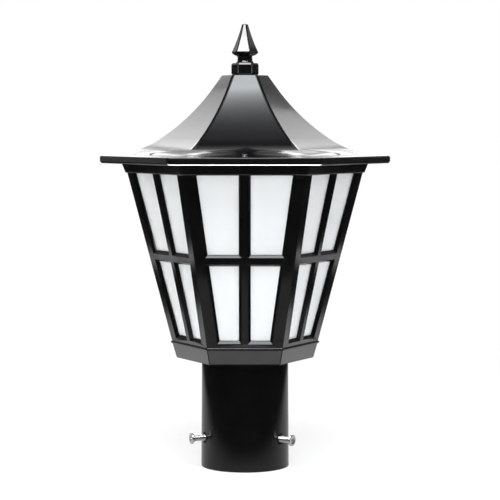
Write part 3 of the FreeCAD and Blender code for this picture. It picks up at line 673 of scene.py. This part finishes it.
def floor_material():
    """White to the camera but for the lantern's shadow, with a soft bright patch in reflections."""
    material = bpy.data.materials.new("pale_floor")
    material.use_nodes = True
    tree = material.node_tree
    tree.nodes.clear()
    near = add_node(tree, "ShaderNodeAddShader")
    tree.links.new(matt(tree, FLOOR_SHOWN_ALBEDO), near.inputs[0])
    tree.links.new(glow(tree, "ShaderNodeEmission", FLOOR_GLOW), near.inputs[1])
    far = smooth_range(tree, floor_distance(tree, (0, 0, 0)), *FLOOR_SHADOW_REACH, 0.0, 1.0)
    shown = mix_shaders(tree, far, near.outputs["Shader"], glow(tree, "ShaderNodeEmission", WHITE))
    from_patch = floor_distance(tree, FLOOR_MIRROR_CENTRE)
    patch = smooth_range(tree, from_patch, *FLOOR_MIRROR_REACH, FLOOR_MIRROR_GLOW, FLOOR_FLAG_GLOW)
    whole = by_ray(tree, matt(tree, FLOOR_ALBEDO), shown, glow(tree, "ShaderNodeEmission", patch))
    end = add_node(tree, "ShaderNodeOutputMaterial")
    tree.links.new(whole, end.inputs["Surface"])
    return material


def pale_floor():
    mesh = bmesh.new()
    bmesh.ops.create_circle(mesh, cap_ends=True, segments=FLOOR_SEGMENTS, radius=FLOOR_RADIUS)
    data = bpy.data.meshes.new("floor")
    mesh.to_mesh(data)
    mesh.free()
    data.materials.append(floor_material())
    floor = bpy.data.objects.new("floor", data)
    scene.collection.objects.link(floor)


def studio_world():
    """White to the camera, with a bright backdrop behind the lantern and dark flags in reflections."""
    world = bpy.data.worlds.new("studio")
    scene.world = world
    world.use_nodes = True
    tree = world.node_tree
    tree.nodes.clear()
    place = add_node(tree, "ShaderNodeTexCoord")
    facing = add_node(tree, "ShaderNodeVectorMath", operation="DOT_PRODUCT")
    facing.inputs[1].default_value = (0, math.cos(BACKDROP_HEIGHT), math.sin(BACKDROP_HEIGHT))
    tree.links.new(place.outputs["Generated"], facing.inputs[0])
    inner, outer = (math.cos(angle) for angle in BACKDROP_REACH)
    backdrop = smooth_range(tree, facing.outputs["Value"], outer, inner, FLAG_GLOW, BACKDROP_GLOW)
    levels = (AMBIENT, WHITE, backdrop)
    whole = by_ray(tree, *(glow(tree, "ShaderNodeBackground", level) for level in levels))
    end = add_node(tree, "ShaderNodeOutputWorld")
    tree.links.new(whole, end.inputs["Surface"])


# Lamps: sizes and places are in metres, angles in degrees
def area_lamp(name, width, tall, radiance):
    data = bpy.data.lights.new(name, "AREA")
    data.shape = "RECTANGLE"
    data.size, data.size_y = width, tall
    data.energy = radiance * math.pi * width * tall
    lamp = bpy.data.objects.new(name, data)
    lamp.visible_camera = False
    scene.collection.objects.link(lamp)
    return lamp


def softbox(name, compass, height, width, tall, radiance, distance=LAMP_DISTANCE):
    """A soft lamp that faces the lantern; compass 0 is over the camera and 90 is to its right."""
    compass, height = math.radians(compass), math.radians(height)
    flat = math.cos(height)
    way = Vector((math.sin(compass) * flat, -math.cos(compass) * flat, math.sin(height)))
    lamp = area_lamp(name, width, tall, radiance)
    lamp.location = LIT_POINT + way * distance
    lamp.rotation_euler = way.to_track_quat("Z", "Y").to_euler()
    return lamp


def mirrored(lamp):
    """Keeps a lamp for reflections, so that it adds nothing to the even light."""
    lamp.visible_diffuse = False
    return lamp


def mirror_card(name, **settings):
    return mirrored(softbox(name, **settings))


def floor_strip(name, x, y, width, deep, radiance, grid, turn=0):
    """A strip on the floor that faces up through a grid and is seen only in reflections."""
    strip = mirrored(area_lamp(name, width, deep, radiance))
    strip.location = (x, y, STRIP_HEIGHT)
    strip.rotation_euler = (math.pi, 0, math.radians(turn))
    strip.data.spread = math.radians(grid)
    return strip


def light_only(piece, lamp):
    """Limits a lamp to one piece."""
    lit = bpy.data.collections.new(lamp.name)
    lit.objects.link(piece)
    lamp.light_linking.receiver_collection = lit


def key_sheet():
    """A sheet of light overhead, brightest towards the camera and fading smoothly to the back."""
    lamp = area_lamp("key_sheet", *SHEET_SIZE, radiance=1.0)
    lamp.location = SHEET_PLACE
    lamp.data.color = SHEET_TINT
    lamp.data.use_nodes = True
    tree = lamp.data.node_tree
    place = add_node(tree, "ShaderNodeSeparateXYZ")
    tree.links.new(add_node(tree, "ShaderNodeNewGeometry").outputs["Position"], place.inputs[0])
    back = math_node(tree, "MULTIPLY", place.outputs["Y"], -SHEET_FALL)
    fade = math_node(tree, "MULTIPLY", math_node(tree, "EXPONENT", back), SHEET_LEVEL)
    edge = smooth_range(tree, place.outputs["Y"], *SHEET_EDGE, SHEET_EDGE_SHARE, 1.0)
    level = math_node(tree, "MULTIPLY", math_node(tree, "MINIMUM", fade, SHEET_MOST), edge)
    tree.links.new(level, tree.nodes["Emission"].inputs["Strength"])


def fill_lamps():
    """Even light on the panes, which the gloss doesn't show."""
    for name, compass, radiance in (("left", -108, 4.7), ("right", 108, 3.8), ("front", 0, 3.5)):
        fill = softbox(f"fill_{name}", compass, height=18, width=0.8, tall=1.0, radiance=radiance,
                       distance=1.7)
        fill.visible_glossy = False


def side_lamps(roof, collar_piece):
    """Pairs of lamps that the ridges, brim, collar, band and cross bars mirror at left and right."""
    for name, side in (("left", -1), ("right", 1)):
        mirror_card(f"ridge_key_{name}", compass=40 * side, height=58, width=0.35, tall=0.3, radiance=8.0,
                    distance=1.3)
        mirror_card(f"ridge_hair_{name}", compass=151 * side, height=41, width=0.74, tall=0.14, radiance=8.0)
        light_only(roof, mirror_card(f"brim_fade_{name}", compass=152 * side, height=17,
                                     width=0.8, tall=0.3, radiance=1.5))
        light_only(collar_piece, mirror_card(f"collar_card_{name}", compass=60 * side, height=2,
                                             width=0.3, tall=0.3, radiance=9.0))
        floor_strip(f"band_card_{name}", x=0.334 * side, y=0.17, width=0.2, deep=0.2, radiance=2.0, grid=150)
        floor_strip(f"bar_card_{name}", x=0.64 * side, y=0.385, width=0.16, deep=0.05, radiance=2.4, grid=160,
                    turn=60 * side)


def studio_lamps(roof, collar_piece):
    key_sheet()
    mirror_card("spear_key", compass=-17, height=38, width=0.34, tall=0.8, radiance=20.0)
    softbox("rim_left", compass=-152, height=32, width=0.76, tall=0.36, radiance=1.75)
    softbox("rim_right", compass=158, height=32, width=0.7, tall=0.36, radiance=1.2)
    fill_lamps()
    mirror_card("fascia_card", compass=-123, height=1, width=0.6, tall=0.22, radiance=0.2)
    mirror_card("spear_fill", compass=110, height=23, width=0.5, tall=0.5, radiance=0.9)
    mirror_card("back_low", compass=180, height=12, width=0.8, tall=0.5, radiance=1.2)
    mirror_card("back_mid", compass=180, height=31, width=0.35, tall=0.35, radiance=2.9)
    side_lamps(roof, collar_piece)
    light_only(roof, floor_strip("fascia_strip", x=0, y=-0.16, width=0.7, deep=0.1, radiance=24.0, grid=70))
    floor_strip("band_strip", x=0, y=-0.207, width=0.4, deep=0.048, radiance=1.6, grid=150)
    floor_strip("post_card", x=0, y=-0.31, width=0.5, deep=0.136, radiance=0.42, grid=150)


def photo_camera():
    data = bpy.data.cameras.new("camera")
    data.sensor_width = SENSOR
    data.lens = FOCAL_PIXELS / IMAGE_SIZE * SENSOR
    camera = bpy.data.objects.new("camera", data)
    camera.location = CAMERA_PLACE
    camera.rotation_euler = (math.pi / 2 - CAMERA_PITCH, 0, 0)
    scene.collection.objects.link(camera)
    scene.camera = camera


dress_nodes()
round_mouldings()
for travel in frame["joints"]:
    set_screw(travel)
roof_screws()
neck_collar = collar()
pale_floor()
studio_world()
studio_lamps(frame["nodes"]["roof"], neck_collar)
photo_camera()

bpy.context.view_layer.update()
